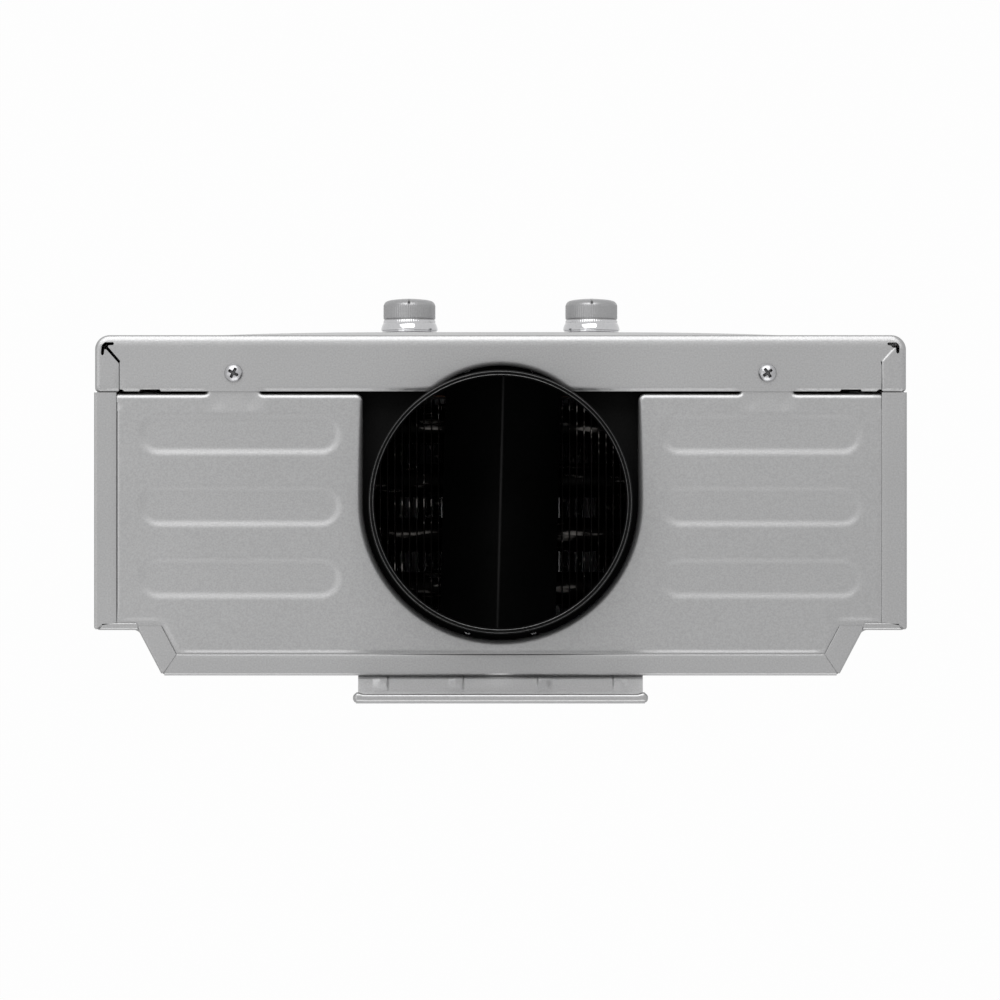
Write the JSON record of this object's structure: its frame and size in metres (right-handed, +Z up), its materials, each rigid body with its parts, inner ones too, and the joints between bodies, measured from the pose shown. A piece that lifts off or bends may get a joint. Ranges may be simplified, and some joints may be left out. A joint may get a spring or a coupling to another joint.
{
  "type": "tankless gas water heater",
  "caption": "Wall-hung instantaneous gas water heater: silver sheet casing, black round flue collar on top, control knobs on the front and threaded pipe stubs below.",
  "frame": {"origin": "on the wall plane, midway between the two wall screw holes of the hanger", "axes": "+X to the right seen from the front, +Y into the wall, +Z up"},
  "size_m": [0.34, 0.186, 0.502],
  "materials": {
    "silver_coat": "fine silver-grey metallic powder coat",
    "black_coat": "semi-matt black enamel",
    "zinc": "bright zinc plate",
    "copper": "bare copper",
    "brass": "turned brass",
    "nickel_nut": "nickel plate",
    "stainless": "pressed stainless sheet",
    "cast_alloy": "die cast",
    "coil_black": "black insulation",
    "rubber": "matt rubber",
    "knob_silver": "satin silver plating",
    "bezel_chrome": "bright plate",
    "black_plastic": "fine moulded texture",
    "cell_wrap": "plain wrap",
    "insulator": "glazed",
    "sensor_steel": "pressed steel",
    "dark_lens": "polished dark window",
    "circuit_green": "circuit board"
  },
  "bodies": {
    "heater": {"rear_casing": "silver_coat", "top_plate": "silver_coat", "bottom_plate": "silver_coat", "front_cover": "silver_coat", "cover_screws": "zinc", "hanger_bracket": "silver_coat", "hanger_rivets": "zinc", "lower_stay": "silver_coat", "stay_rivets": "zinc", "flue_collar": "black_coat", "collar_rivets": "black_coat", "flue_hood": "black_coat", "draught_baffle": "black_coat", "chamber_shell": "copper", "heat_fins": "copper", "exchanger_tubes": "copper", "chamber_coil": "copper", "cold_riser": "copper", "hot_pipe": "copper", "pipe_unions": "brass", "chamber_brackets": "zinc", "burner_frame": "stainless", "burner_bars": "stainless", "gas_manifold": "cast_alloy", "gas_nozzles": "brass", "gas_valve_body": "cast_alloy", "gas_solenoid": "coil_black", "water_valve_body": "cast_alloy", "diaphragm": "rubber", "diaphragm_cover": "cast_alloy", "housing_screws": "zinc", "rod_spring": "zinc", "knob_bezels": "bezel_chrome", "micro_switch": "black_plastic", "switch_bracket": "zinc", "ignition_box": "black_plastic", "electrode_insulators": "insulator", "electrode_pins": "zinc", "electrode_plate": "zinc", "battery_box": "black_plastic", "battery_cells": "cell_wrap", "battery_contacts": "zinc", "lid_hinge_pin": "zinc", "cold_stub": "brass", "hot_stub": "brass", "gas_stub": "brass", "lock_nuts": "nickel_nut", "stub_gaskets": "rubber", "thermostat": "sensor_steel", "display_lens": "dark_lens", "display_board": "circuit_green", "wire_loom": "coil_black"},
    "gas_control": {"gas_knob": "knob_silver", "gas_spindle": "brass"},
    "water_control": {"water_knob": "knob_silver", "water_spindle": "brass"},
    "rod": {"push_rod": "brass"},
    "lever": {"switch_lever": "zinc"},
    "lid": {"battery_lid": "black_plastic"},
    "drain": {"drain_plug": "brass"}
  },
  "joints": [
    {"name": "gas_knob_turn", "type": "hinge", "parent": "heater", "child": "gas_control", "pos_m": [-0.046, -0.1656, -0.388], "axis": [0, 1, 0], "range_deg": [-90, 90]},
    {"name": "water_knob_turn", "type": "hinge", "parent": "heater", "child": "water_control", "pos_m": [0.046, -0.1656, -0.388], "axis": [0, 1, 0], "range_deg": [-135, 135]},
    {"name": "rod_slide", "type": "slide", "parent": "heater", "child": "rod", "axis": [-1, 0, 0], "range_m": [0, 0.004], "stiffness_N_per_m": 400, "deforming": ["rod_spring"]},
    {"name": "lever_tilt", "type": "hinge", "parent": "heater", "child": "lever", "pos_m": [-0.0008, -0.1226, -0.3575], "axis": [0, 1, 0], "range_deg": [0, 32]},
    {"name": "lid_swing", "type": "hinge", "parent": "heater", "child": "lid", "pos_m": [0.126, -0.0436, -0.4516], "axis": [1, 0, 0], "range_deg": [0, 100]},
    {"name": "drain_turn", "type": "hinge", "parent": "heater", "child": "drain", "pos_m": [0.04, -0.1046, -0.46], "axis": [0, 0, 1], "continuous": true}
  ],
  "couplings": [
    {"joint": "lever_tilt", "follows": "rod_slide", "rad_per_m": 125}
  ]
}
